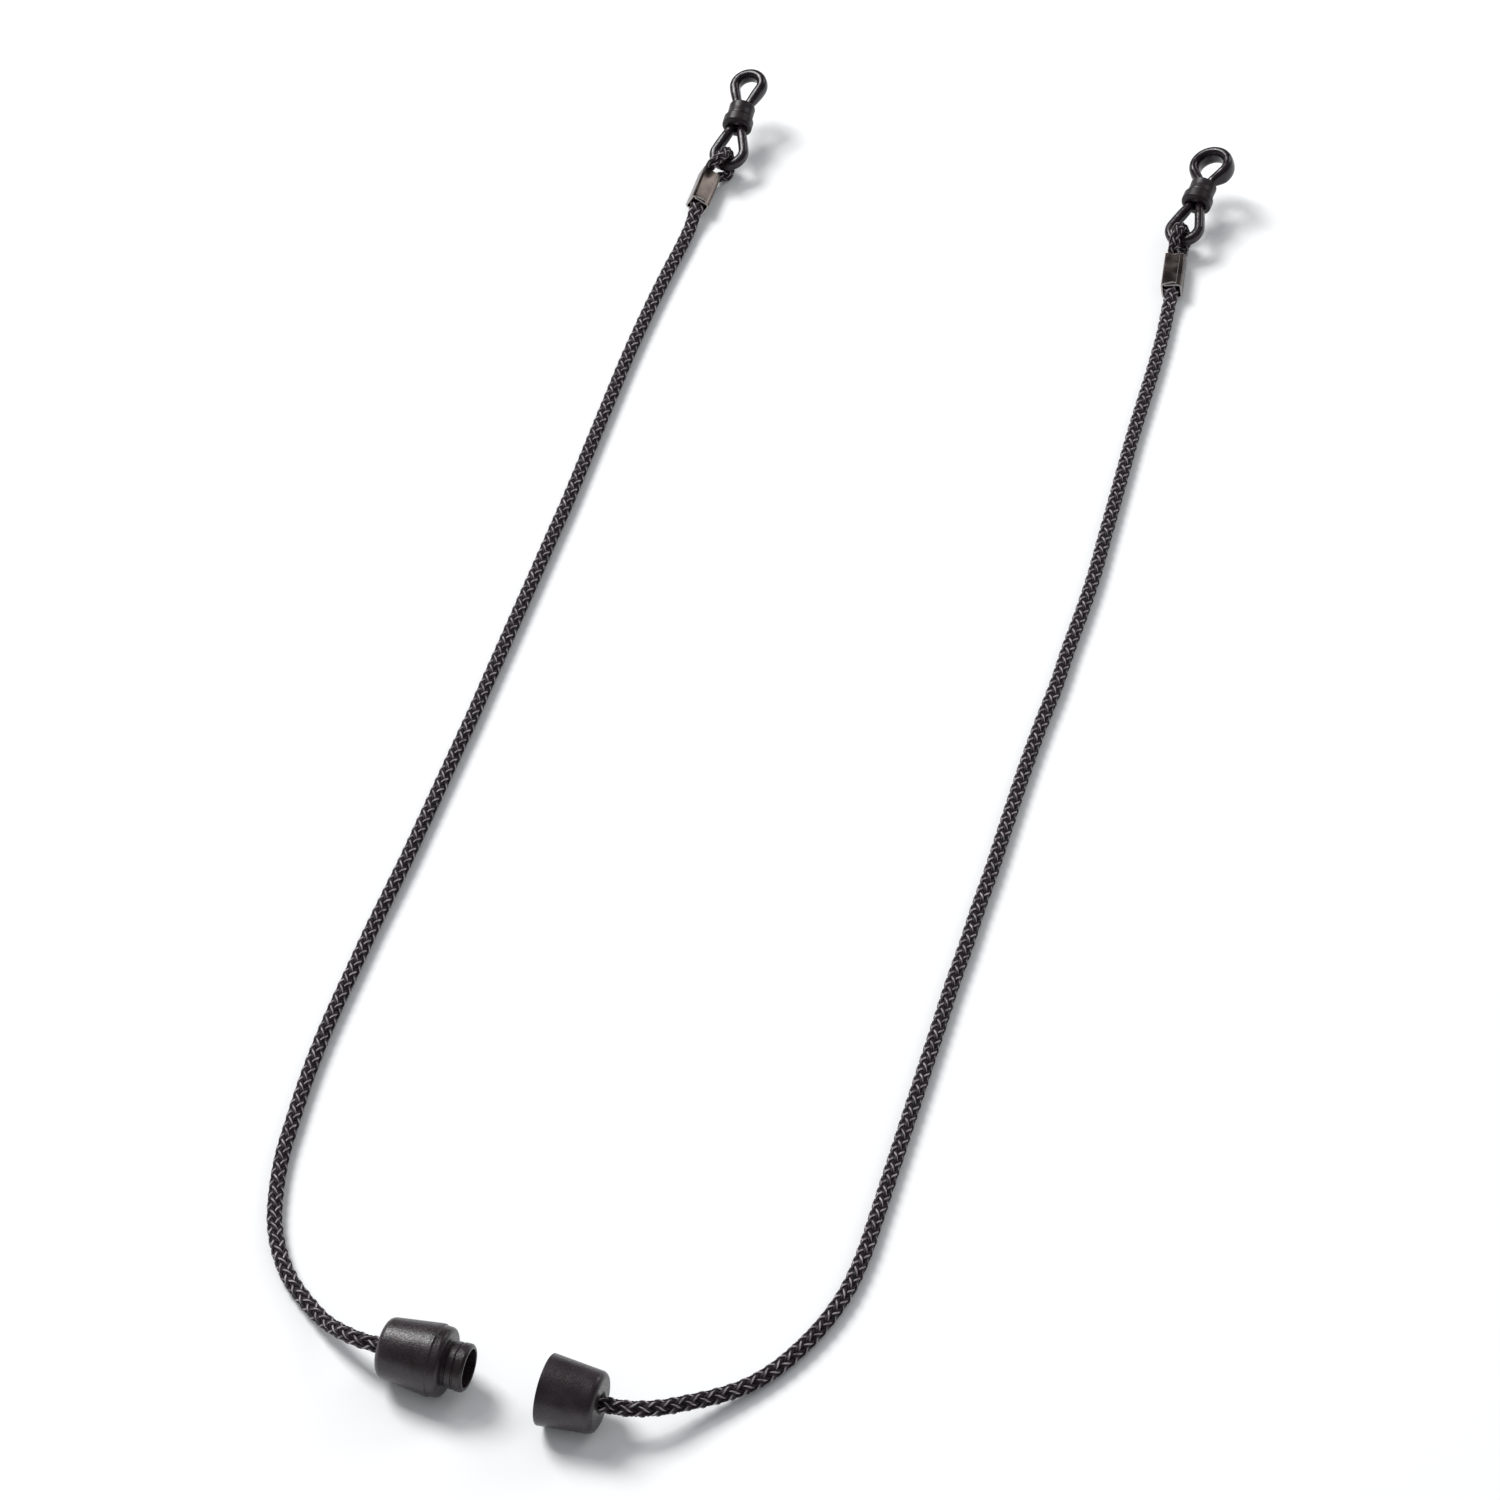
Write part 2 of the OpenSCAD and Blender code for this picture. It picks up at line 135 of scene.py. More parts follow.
# Outlines of the clasp halves as (radius, distance, corner radius), in mm
PLUG_BARREL = [
    (CORD_HOLE_R + HOLE_FLARE, 0, 0.1), (5.2, 0, 1.4),
    (6.35, 9, 6), (6.4, 9.72, 0.1), (6.2, BARREL_LEN, 0.1),
]
PLUG_SHOULDER = [(6.12, SHOULDER_AT, 1.5), (NECK_R, SHOULDER_AT, 0.1)]
SPIGOT_COLLAR = [(NECK_R, 12.4, 0.08), (COLLAR_R, 12.5, 0.1), (COLLAR_R, 13.6, 0.1)]
SPIGOT_GROOVE = [(GROOVE_R, 13.63, 0.06), (GROOVE_R, 13.9, 0.06)]
SPIGOT_BEAD = [(BEAD_R, 14.03, 0.15), (BEAD_R, 15.2, 0.2)]
SPIGOT_TIP = [(3.82, TIP_AT, 0.12), (SPIGOT_BORE_R, TIP_AT, 0.12)]
PLUG_INSIDE = [
    (SPIGOT_BORE_R, PLUG_WALL, 0.4), (CORD_HOLE_R, PLUG_WALL, 0.15), (CORD_HOLE_R, HOLE_FLARE, 0.2),
]
SOCKET_OUTSIDE = [(6, 0, 0.1), (6.3, 0.02, 0.35), (5.4, SOCKET_LEN, 1.2)]
SOCKET_CORD_HOLE = [
    (CORD_HOLE_R + HOLE_FLARE, SOCKET_LEN, 0.15), (CORD_HOLE_R, SOCKET_LEN - HOLE_FLARE, 0.15),
    (CORD_HOLE_R, SOCKET_FLOOR, 0.15),
]
SOCKET_CAVITY = [(CAVITY_R, SOCKET_FLOOR, 0.3), (CAVITY_R, 2.1, 0.1)]
SOCKET_RIDGE = [(RIDGE_R, 1.7, 0.1), (RIDGE_R, 1, 0.2), (5.7, 0.2, 0.2)]

# Crimps: folded from one strip of sheet metal with an outer leaf lapped over the top face
CRIMP_W = 4.3 * MM
CRIMP_T = 3.3 * MM
CRIMP_LEN = 11 * MM
SHEET_T = 0.36 * MM
FOLD_R = 0.45 * MM
LEAF_EDGE = 1.05 * MM
LEAF_GAP = 0.01 * MM
NOTCH_DEPTH = 1 * MM
PRESS_DEPTH = 0.16 * MM

# The cord in its crimp: how deep it goes, the distances from its end at which it starts and stops
# narrowing, and its radius there and at the end
CORD_DEPTH = 3 * MM
NARROWS_FROM = 4.5 * MM
NARROWS_TO = 2.8 * MM
CORD_MOUTH_R = 1.28 * MM
CORD_PRESSED_R = 1.25 * MM

# The cord's eye: its two legs in the crimp, and the arch over the rubber loop between them
LEG_OFFSET = 0.85 * MM
LEG_R = 0.85 * MM
LEG_DEPTH = 5 * MM
BIGHT_R = 2.95 * MM
EYE_R = 1.2 * MM
EYE_SWELL_LEN = 2 * MM
EYE_BEND_SHARE = 0.55
EYE_UPPER_RISE = 0.9 * MM
EYE_LOWER_SAG = 0.3 * MM

# Rubber fittings, along their own +Y from the pivot in the cord's eye
BAND_W = 2.2 * MM
BAND_T = 1.9 * MM
STRAND_OFFSET = 1.2 * MM
FILLET_R = 2 * MM
SMALL_R = 3.2 * MM
NECK_FROM = 10.05 * MM
SLEEVE_FROM = 12.7 * MM
NECK_TO = 16.1 * MM
NECK_SPLIT = 15.9 * MM
TEMPLE_HEIGHT = 9.6 * MM
JOIN_GAP = 0.05 * MM
BAND_SQUARENESS = 2.6
BAND_SIDES = 24
# Half width and half height of the oval bore in the ring and the sleeve, and its radius, in mm
BORE_HALF_W = 2.25
BORE_HALF_H = 1.18
BORE_R = 1.65
# Outlines of the ring and the sleeve as (radius, distance, corner radius), in mm
RING_R = 3.2
RING_OUTLINE = [
    (BORE_R, 0, 0.25), (2.5, 0, 0.3), (RING_R, 0.3, 0.6), (RING_R, 2.35, 0.22),
    (2.75, 2.6, 0.12), (BORE_R, 2.6, 0.1),
]
SLEEVE_R = 2.8
SLEEVE_OUTLINE = [
    (BORE_R, 0, 0.1), (2.72, 0, 0.2), (2.76, 0.5, 0.4), (2.68, 1.7, 3), (2.78, 3.1, 0.4),
    (2.5, 3.4, 0.25), (BORE_R, 3.4, 0.2),
]


def placed(at, heading, pitch=0, roll=0):
    """Matrix of a frame that is rolled, then pitched, then turned to its heading, in degrees."""
    turn = Matrix.Rotation(radians(heading), 4, "Z")
    tip = Matrix.Rotation(radians(pitch), 4, "X")
    lean = Matrix.Rotation(radians(roll), 4, "Y")
    return Matrix.Translation(at) @ turn @ tip @ lean


LEFT_CRIMP = placed((-0.0489, 0.139, 0.00275), heading=5, roll=30)
RIGHT_CRIMP = placed((0.0536, 0.1444, 0.0022), heading=11, roll=-8)
LEFT_FITTING = placed((-0.0473, 0.1527, 0.0041), heading=5.4, pitch=15, roll=-10)
RIGHT_FITTING = placed((0.0511, 0.159, 0.0041), heading=-2.8, pitch=13, roll=-14)
CLASP_AXIS = Matrix.Rotation(pi / 2, 4, "Y")


# ---------------------------------------------------------------- materials

class Nodes:
    """A material's node tree, with short calls for the nodes that the finishes share."""

    def __init__(self, name):
        self.material = bpy.data.materials.new(name)
        self.material.use_nodes = True
        self.tree = self.material.node_tree
        self.shader = self.tree.nodes["Principled BSDF"]

    def add(self, kind, **settings):
        node = self.tree.nodes.new("ShaderNode" + kind)
        for key, value in settings.items():
            if hasattr(node, key):
                setattr(node, key, value)
            else:
                node.inputs[key.replace("_", " ").title()].default_value = value
        return node

    def link(self, source, target):
        self.tree.links.new(source, target)

    def surface_point(self):
        return self.add("TexCoord").outputs["Object"]

    def strand_point(self, across, along):
        """Coordinates on a strand: turns round it times across, and radii along it times along."""
        uv = self.add("UVMap", uv_map="strand")
        scale = self.add("Mapping")
        scale.inputs["Scale"].default_value = (across, along, 1)
        self.link(uv.outputs["UV"], scale.inputs["Vector"])
        return scale.outputs["Vector"]

    def noise(self, point, scale, detail=2, roughness=0.5):
        node = self.add("TexNoise", scale=scale, detail=detail, roughness=roughness)
        self.link(point, node.inputs["Vector"])
        return node.outputs["Fac"]

    def between(self, fac, low, high, start=0.35, end=0.65):
        """A value that runs from low to high as fac goes from start to end."""
        node = self.add("MapRange")
        for key, value in (("From Min", start), ("From Max", end), ("To Min", low), ("To Max", high)):
            node.inputs[key].default_value = value
        self.link(fac, node.inputs["Value"])
        return node.outputs["Result"]

    def colour(self, fac, stops):
        node = self.add("ValToRGB")
        ramp = node.color_ramp
        while len(ramp.elements) < len(stops):
            ramp.elements.new(0.5)
        for element, (place, rgb) in zip(ramp.elements, stops):
            element.position = place
            element.color = (*rgb, 1)
        self.link(fac, node.inputs["Fac"])
        self.link(node.outputs["Color"], self.shader.inputs["Base Color"])

    def bump(self, height, distance, strength=1, below=None):
        node = self.add("Bump", strength=strength, distance=distance)
        self.link(height, node.inputs["Height"])
        if below is not None:
            self.link(below, node.inputs["Normal"])
        self.link(node.outputs["Normal"], self.shader.inputs["Normal"])
        return node.outputs["Normal"]

    def roughness(self, value):
        self.link(value, self.shader.inputs["Roughness"])

    def fixed(self, **values):
        for key, value in values.items():
            self.shader.inputs[key.replace("_", " ")].default_value = value


def moulded_plastic(name, grain, depth):
    """Charcoal plastic with the pebbled face that a spark-eroded mould leaves."""
    n = Nodes(name)
    point = n.surface_point()
    mottle = n.noise(point, scale=260, detail=4)
    n.colour(mottle, [
        (0.3, (0.013, 0.008, 0.010)), (0.55, (0.024, 0.016, 0.020)), (0.75, (0.034, 0.024, 0.029)),
    ])
    pebble = n.noise(point, scale=grain, detail=3, roughness=0.6)
    n.roughness(n.between(pebble, 0.24, 0.46))
    swell = n.bump(n.noise(point, scale=420, detail=2), distance=0.00006, strength=0.6)
    n.bump(pebble, distance=depth, strength=0.9, below=swell)
    n.fixed(Specular_IOR_Level=0.5)
    return n.material


def rubber(name, rough_low, rough_high):
    """Black rubber, a little dusty in its colour, with the faint waviness of a moulded skin."""
    n = Nodes(name)
    point = n.surface_point()
    dust = n.noise(point, scale=600, detail=5)
    n.colour(dust, [(0.35, (0.009, 0.005, 0.007)), (0.7, (0.021, 0.014, 0.018))])
    n.roughness(n.between(n.noise(point, scale=900, detail=4), rough_low, rough_high))
    skin = n.bump(n.noise(point, scale=420, detail=2), distance=0.00014, strength=0.6)
    n.bump(n.noise(point, scale=5200, detail=2), distance=0.00001, strength=0.5, below=skin)
    n.fixed(Specular_IOR_Level=0.36)
    return n.material


def black_nickel():
    """Black nickel plate: dark warm metal with drawing lines along the strip and small dull patches."""
    n = Nodes("black_nickel")
    point = n.surface_point()
    patch = n.noise(point, scale=420, detail=3)
    n.colour(patch, [(0.3, (0.105, 0.084, 0.076)), (0.7, (0.150, 0.124, 0.112))])
    n.roughness(n.between(patch, 0.2, 0.36))
    lines = n.add("Mapping")
    lines.inputs["Scale"].default_value = (6000, 500, 6000)
    n.link(point, lines.inputs["Vector"])
    dent = n.bump(n.noise(point, scale=300, detail=1), distance=0.00004, strength=0.5)
    n.bump(n.noise(lines.outputs["Vector"], scale=1, detail=2), distance=0.000006, strength=0.5, below=dent)
    n.fixed(Metallic=1)
    return n.material


def edge_painted_glint():
    """Sheared edges of the strip, coloured pale as a painted highlight along them, and finely scored."""
    n = Nodes("edge_painted_glint")
    score = n.noise(n.surface_point(), scale=3000, detail=3)
    n.colour(score, [(0.3, (0.55, 0.50, 0.48)), (0.7, (0.85, 0.80, 0.77))])
    n.roughness(n.between(score, 0.3, 0.5))
    n.bump(score, distance=0.00002, strength=0.6)
    n.fixed(Metallic=0.2)
    return n.material


def braid_fibre():
    """Black polyester filaments that run along each strand."""
    n = Nodes("braid_fibre")
    fibres = n.noise(n.strand_point(34, 1.1), scale=1, detail=3, roughness=0.6)
    n.colour(fibres, [
        (0.35, (0.005, 0.002, 0.004)), (0.55, (0.012, 0.007, 0.010)), (0.75, (0.030, 0.021, 0.027)),
    ])
    n.roughness(n.between(fibres, 0.62, 0.45))
    n.bump(fibres, distance=0.00008, strength=0.9)
    n.fixed(Specular_IOR_Level=0.28)
    return n.material


def braid_painted_glint():
    """Pale grey ridge along the middle of each strand: a painted highlight standing in for the strands'
    glints, brighter and dimmer at random.
    """
    n = Nodes("braid_painted_glint")
    # Painted highlight, brighter and dimmer at random along the cord
    glint_variation = n.noise(n.surface_point(), scale=900, detail=2)
    n.colour(glint_variation, [(0.3, (0.09, 0.075, 0.085)), (0.5, (0.25, 0.215, 0.235)), (0.7, (0.40, 0.36, 0.38))])
    twist = n.noise(n.strand_point(10, 5), scale=1, detail=2)
    n.roughness(n.between(twist, 0.3, 0.5))
    n.bump(twist, distance=0.00004, strength=0.7)
    return n.material


PLASTIC_PLUG = moulded_plastic("clasp_plastic_grained", grain=2900, depth=0.00006)
PLASTIC_SOCKET = moulded_plastic("clasp_plastic_fine", grain=3400, depth=0.00004)
LOOP_RUBBER = rubber("loop_rubber", rough_low=0.17, rough_high=0.32)
COLLAR_RUBBER = rubber("collar_rubber", rough_low=0.36, rough_high=0.48)
BLACK_NICKEL = black_nickel()
# Pale material of the crimps' sheared edges, a painted highlight
EDGE_PAINTED_GLINT = edge_painted_glint()
FIBRE = braid_fibre()
# Pale ridge material of the braid, a painted highlight
PAINTED_GLINT = braid_painted_glint()


# ---------------------------------------------------------------- meshes

def mesh_object(name, vertices, faces, materials, face_materials=None, uvs=None):
    """A smooth-shaded mesh object. uvs holds one pair for each corner of each face, in order."""
    mesh = bpy.data.meshes.new(name)
    mesh.from_pydata(np.asarray(vertices).tolist(), [], faces)
    for material in materials:
        mesh.materials.append(material)
    if face_materials is not None:
        mesh.polygons.foreach_set("material_index", face_materials)
    if uvs is not None:
        mesh.uv_layers.new(name="strand").data.foreach_set("uv", np.asarray(uvs, float).ravel())
    mesh.shade_smooth()
    mesh.update()
    obj = bpy.data.objects.new(name, mesh)
    bpy.context.scene.collection.objects.link(obj)
    return obj


def tube_faces(rings, columns, first=0, closed=False):
    """Quads round a tube whose rings of corners follow each other, as one array of corner numbers."""
    ring = np.arange(rings if closed else rings - 1)[:, None]
    column = np.arange(columns)[None, :]
    a = ring * columns + column
    b = ring * columns + (column + 1) % columns
    up = ((ring + 1) % rings - ring) * columns
    return first + np.stack([a, b, b + up, a + up], -1).reshape(-1, 4)


def tube(rings, first=0, closed=False):
    """Vertices and faces of a tube given as an array of rings of corners, capped unless it is closed."""
    count, columns, _ = rings.shape
    faces = tube_faces(count, columns, first, closed).tolist()
    if not closed:
        faces.append([first + k for k in range(columns - 1, -1, -1)])
        faces.append([first + (count - 1) * columns + k for k in range(columns)])
    return rings.reshape(-1, 3), faces


class Track:
    """A smooth line through points, with two side directions carried along it without twist."""

    STEP = 0.1 * MM

    def __init__(self, points, first_side=(0, 0, 1)):
        p = np.array([tuple(q) for q in points], float)
        chord = np.linalg.norm(np.diff(p, axis=0), axis=1)
        knots = np.concatenate([[0], np.cumsum(chord)])
        slope = np.gradient(p, knots, axis=0)
        fine = np.linspace(0, knots[-1], int(4 * knots[-1] / self.STEP))
        i = np.clip(np.searchsorted(knots, fine, side="right") - 1, 0, len(chord) - 1)
        w = chord[i][:, None]
        t = (fine - knots[i])[:, None] / w
        line = (2 * t**3 - 3 * t**2 + 1) * p[i] + (t**3 - 2 * t**2 + t) * w * slope[i]
        line += (3 * t**2 - 2 * t**3) * p[i + 1] + (t**3 - t**2) * w * slope[i + 1]
        run = np.concatenate([[0], np.cumsum(np.linalg.norm(np.diff(line, axis=0), axis=1))])
        self.length = run[-1]
        self.s = np.linspace(0, self.length, int(self.length / self.STEP) + 2)
        self.line = self.sampled(line, run, self.s)
        ahead = np.gradient(self.line, self.s, axis=0)
        ahead /= np.linalg.norm(ahead, axis=1)[:, None]
        side = np.cross(ahead[0], first_side)
        self.side = np.empty_like(ahead)
        for k, direction in enumerate(ahead):
            side = side - direction * np.dot(direction, side)
            side /= np.linalg.norm(side)
            self.side[k] = side
        self.up = np.cross(self.side, ahead)

    @staticmethod
    def sampled(values, at, s):
        return np.stack([np.interp(s, at, values[:, axis]) for axis in range(3)], -1)

    def point(self, s, across, above):
        """Points at distance s along the line, moved across and above it."""
        side = self.sampled(self.side, self.s, s)
        up = self.sampled(self.up, self.s, s)
        return self.sampled(self.line, self.s, s) + side * across[..., None] + up * above[..., None]

    def around(self, s, angle, radius):
        return self.point(s, radius * np.cos(angle), radius * np.sin(angle))


def braid(name, track, radii):
    """A round braid on a track. radii are (distance, radius) pairs that the cord's radius follows."""
    at, radius = np.array(radii).T
    full = radius.max()
    pitch = BRAID_PITCH * full
    lean = np.arctan2(tau * BRAID_MID * full, pitch)
    count = int(track.length / (BRAID_RING * full)) + 1
    s = np.linspace(0, track.length, count)[:, None]
    across = np.array([u for u, _ in STRAND])[None, :] * full
    out = np.array([h for _, h in STRAND])[None, :]
    columns = len(STRAND)
    vertices, faces, materials, uvs = [], [], [], []
    column = np.tile(np.arange(columns), count - 1)
    ring = np.repeat(np.arange(count - 1), columns)
    wrap = np.stack([column, column + 1, column + 1, column], -1) / columns
    along = np.stack([ring, ring, ring + 1, ring + 1], -1) * BRAID_RING
    for way in (1, -1):
        for k in range(STRANDS_EACH_WAY):
            first = sum(len(v) for v in vertices)
            angle = way * tau * s / pitch + tau * k / STRANDS_EACH_WAY
            angle = angle + across * cos(lean) / (BRAID_MID * full)
            place = np.clip(s - way * across * sin(lean), 0, track.length)
            height = BRAID_MID + way * BRAID_WAVE * np.cos(STRANDS_EACH_WAY * angle) + out
            points, quads = tube(track.around(place, angle, height * np.interp(place, at, radius)), first)
            vertices.append(points)
            faces += quads
            # The middle ridge's faces take the pale material, a painted highlight along the strand
            materials += np.isin(column, PAINTED_GLINT_COLUMNS).astype(int).tolist() + [0, 0]
            uvs.append(np.stack([wrap + k, along + 3 * way], -1).reshape(-1, 2))
            uvs.append(np.zeros((2 * columns, 2)))
    first = sum(len(v) for v in vertices)
    angle = tau * np.arange(columns)[None, :] / columns
    core_r = CORE_R * np.interp(s, at, radius)
    core, quads = tube(track.around(s + 0 * angle, angle + 0 * s, core_r + 0 * angle), first)
    vertices.append(core)
    faces += quads
    materials += [0] * len(quads)
    uvs.append(np.zeros((4 * (count - 1) * columns + 2 * columns, 2)))
    return mesh_object(name, np.concatenate(vertices), faces, [FIBRE, PAINTED_GLINT], materials, np.concatenate(uvs))


# The most that an arc and its extra point take of the straight stretch beside them
ARC_SHARE = 0.45
SUPPORT_SHARE = 0.04


def rounded(profile, steps=5, support=0.12 * MM):
    """Closed outline with each corner turned into an arc. Entries are (x, y, corner radius), in metres.
    Two extra points beside each arc keep the straight stretches flat under smooth shading."""
    points = [np.array(p[:2]) for p in profile]
    outline = []
    for i, corner in enumerate(points):
        before, after = points[i - 1], points[(i + 1) % len(points)]
        a, b = before - corner, after - corner
        la, lb = np.linalg.norm(a), np.linalg.norm(b)
        a, b = a / la, b / lb
        half = np.arccos(np.clip(np.dot(a, b), -1, 1)) / 2
        reach = min(profile[i][2] / max(np.tan(half), 0.01), ARC_SHARE * la, ARC_SHARE * lb)
        radius = reach * np.tan(half)
        middle = a + b
        centre = corner + middle / max(np.linalg.norm(middle), 1e-9) * radius / np.sin(half)
        start, end = corner + a * reach, corner + b * reach
        extra_a, extra_b = min(support, SUPPORT_SHARE * la), min(support, SUPPORT_SHARE * lb)
        outline.append(start + a * extra_a)
        for k in range(steps + 1):
            t = k / steps
            chord = start * (1 - t) + end * t - centre
            outline.append(centre + chord / np.linalg.norm(chord) * radius)
        outline.append(end + b * extra_b)
    return np.array(outline)


def turned(name, place, profile, material, segments=128, hole=None):
    """A closed profile of (radius, distance, corner radius) in mm, turned about the local Z of place.
    With hole = (half width, half height, inner radius, outer radius) the bore is an oval instead of round."""
    outline = rounded([tuple(MM * v for v in p) for p in profile])
    angle = tau * np.arange(segments)[:, None] / segments
    radius = outline[None, :, 0] + 0 * angle
    if hole:
        half_w, half_h, inner, outer = (MM * v for v in hole)
        squareness = 4
        oval = np.abs(np.cos(angle) / half_w) ** squareness + np.abs(np.sin(angle) / half_h) ** squareness
        oval = oval ** (-1 / squareness)
        share = np.clip((radius - inner) / (outer - inner), 0, None)
        radius = oval + share * (outer - oval)
    rings = np.stack([radius * np.cos(angle), radius * np.sin(angle), outline[None, :, 1] + 0 * angle], -1)
    vertices, faces = tube(rings, closed=True)
    obj = mesh_object(name, vertices, faces, [material])
    obj.data.transform(place)
    return obj


def sweep(name, track, section, growth, material):
    """A solid whose section, given as (across, above) points in metres, runs along a track. growth is
    (distance from each end where it starts to grow, distance that it takes, times across, times above)."""
    start, reach, thicker, wider = growth
    ring_spacing = 0.25 * MM
    count = int(track.length / ring_spacing) + 1
    s = np.linspace(0, track.length, count)[:, None]
    share = np.clip((np.minimum(s, track.length - s) - start) / reach, 0, 1)
    share = share * share * (3 - 2 * share)
    across = np.array([p[0] for p in section])[None, :] * (1 + (thicker - 1) * share)
    above = np.array([p[1] for p in section])[None, :] * (1 + (wider - 1) * share)
    vertices, faces = tube(track.point(s + 0 * across, across, above))
    return mesh_object(name, vertices, faces, [material])


def arc(centre, r, start, end, steps):
    """Points of an arc in a plane, from one angle to another, in degrees."""
    return [
        (centre[0] + r * cos(radians(a)), centre[1] + r * sin(radians(a)))
        for a in np.linspace(start, end, steps + 1)
    ]


# ---------------------------------------------------------------- camera

def camera():
    a, e = radians(CAMERA_AZIMUTH), radians(CAMERA_ELEVATION)
    back = Vector((sin(a) * cos(e), -cos(a) * cos(e), sin(e)))
    data = bpy.data.cameras.new("camera")
    data.lens = CAMERA_LENS_MM
    data.sensor_width = 36
    data.clip_start = 0.05
    data.clip_end = 20
    obj = bpy.data.objects.new("camera", data)
    obj.location = CAMERA_TARGET + back * CAMERA_DISTANCE
    obj.rotation_mode = "QUATERNION"
    obj.rotation_quaternion = (-back).to_track_quat("-Z", "Y")
    bpy.context.scene.collection.objects.link(obj)
    bpy.context.scene.camera = obj


# ---------------------------------------------------------------- cords

def squeeze(piece, crimp, start, end, across, above):
    """Press a cord into its crimp: in the crimp's frame, width and height change from start to end."""
    points = np.empty(len(piece.data.vertices) * 3)
    piece.data.vertices.foreach_get("co", points)
    to_crimp = np.array(crimp.inverted())
    local = points.reshape(-1, 3) @ to_crimp[:3, :3].T + to_crimp[:3, 3]
    share = np.clip((local[:, 1] - start) / (end - start), 0, 1)
    share = share * share * (3 - 2 * share)
    local[:, 0] *= 1 + (across - 1) * share
    local[:, 2] *= 1 + (above - 1) * share
    back = np.array(crimp)
    piece.data.vertices.foreach_set("co", (local @ back[:3, :3].T + back[:3, 3]).ravel())
    piece.data.update()


def cord(side, route, crimp):
    """The free cord of one side, narrowed where the crimp squeezes it."""
    mouth = crimp @ Vector((0, -1 * MM, 0))
    inside = crimp @ Vector((0, CORD_DEPTH, 0))
    track = Track([*route, mouth, inside])
    end = track.length
    radii = [
        (0, CORD_D / 2), (end - NARROWS_FROM, CORD_D / 2),
        (end - NARROWS_TO, CORD_MOUTH_R), (end, CORD_PRESSED_R),
    ]
    piece = braid(f"{side}_braided_cord", track, radii)
    squeeze(piece, crimp, start=-2 * MM, end=0.4 * MM, across=1.33, above=0.96)
    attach(piece, f"{side}_strap")
    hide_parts(f"{side}_cord")


def cord_eye(side, crimp, fitting):
    """The cord's folded end: out of the crimp, over the rubber loop and back into the crimp."""
    upper = [crimp @ Vector((-LEG_OFFSET, y, 0)) for y in (CRIMP_LEN - LEG_DEPTH, CRIMP_LEN)]
    lower = [crimp @ Vector((LEG_OFFSET, y, 0)) for y in (CRIMP_LEN - LEG_DEPTH, CRIMP_LEN)]
    bight = [fitting @ Vector((0, y, z)) for y, z in arc((0, 0), BIGHT_R, 90, -90, 8)]
    upper_bend = upper[1].lerp(bight[0], EYE_BEND_SHARE) + Vector((0, 0, EYE_UPPER_RISE))
    lower_bend = lower[1].lerp(bight[-1], EYE_BEND_SHARE) - Vector((0, 0, EYE_LOWER_SAG))
    track = Track([*upper, upper_bend, *bight, lower_bend, lower[1], lower[0]])
    end = track.length
    leg = LEG_DEPTH + 0.2 * MM
    radii = [(0, LEG_R), (leg, LEG_R), (leg + EYE_SWELL_LEN, EYE_R)]
    radii += [(end - at, radius) for at, radius in reversed(radii)]
    piece = braid(f"{side}_cord_eye_braid", track, radii)
    squeeze(piece, crimp, start=CRIMP_LEN + 1 * MM, end=CRIMP_LEN - 0.3 * MM, across=1.02, above=1.4)
    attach(piece, f"{side}_strap")
    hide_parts(f"{side}_cord_eye")


def cord_knot(side, x, way):
    """Stopper knot: the cord's end wound round itself, with its cut end sticking out of the middle.
    It starts at x on the clasp's axis, and way is 1 or -1, the direction in which it points along X."""
    turns, coil_r, back, front, strand_r = 1.6, 1.6 * MM, 1 * MM, 3.3 * MM, 0.8 * MM
    points = [(0, 0, 0), (0.3 * MM, coil_r / 2, 0)]
    for t in np.linspace(0, 1, 15):
        a = tau * turns * t
        points.append((back + (front - back) * t, coil_r * cos(a), coil_r * sin(a)))
    points += [(3.7 * MM, -0.5 * MM, 0.3 * MM), (4.35 * MM, 0, 0)]
    place = [(x + way * p[0], AXIS_Y + p[1], AXIS_Z + p[2]) for p in points]
    track = Track(place)
    piece = braid(f"{side}_stopper_knot", track, [(0, strand_r), (track.length, strand_r)])
    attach(piece, f"{side}_strap")
    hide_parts(f"{side}_cord_knot")


# ---------------------------------------------------------------- clasp

def clasp():
    plug_at = Matrix.Translation((PLUG_X, AXIS_Y, AXIS_Z)) @ CLASP_AXIS
    spigot = SPIGOT_COLLAR + SPIGOT_GROOVE + SPIGOT_BEAD + SPIGOT_TIP
    outline = PLUG_BARREL + PLUG_SHOULDER + spigot + PLUG_INSIDE
    plug = turned("plug_body", plug_at, outline, PLASTIC_PLUG)
    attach(plug, "plug_half")
    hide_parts("plug_shell", "plug_spigot")
    socket_at = Matrix.Translation((SOCKET_X, AXIS_Y, AXIS_Z)) @ CLASP_AXIS
    outline = SOCKET_OUTSIDE + SOCKET_CORD_HOLE + SOCKET_CAVITY + SOCKET_RIDGE
    socket = turned("socket_body", socket_at, outline, PLASTIC_SOCKET)
    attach(socket, "socket_half")
    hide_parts("socket_shell")


# ---------------------------------------------------------------- crimps

def sheet_path():
    """Middle line of the crimp's strip in its cross-section: inner layer, round the box, outer leaf."""
    w, t, bend = (CRIMP_W - SHEET_T) / 2, (CRIMP_T - SHEET_T) / 2, FOLD_R
    leaf = t + SHEET_T + LEAF_GAP
    line = [(-w + bend, t)]
    line += arc((w - bend, t - bend), bend, 90, 0, 5)
    line += arc((w - bend, -t + bend), bend, 0, -90, 5)
    line += arc((-w + bend, -t + bend), bend, -90, -180, 5)
    line += arc((-w + bend, leaf - bend), bend, 180, 90, 5)
    line += [(x * MM, leaf) for x in (-0.8, 0.2)]
    line.append((LEAF_EDGE, leaf))
    return np.array(line)


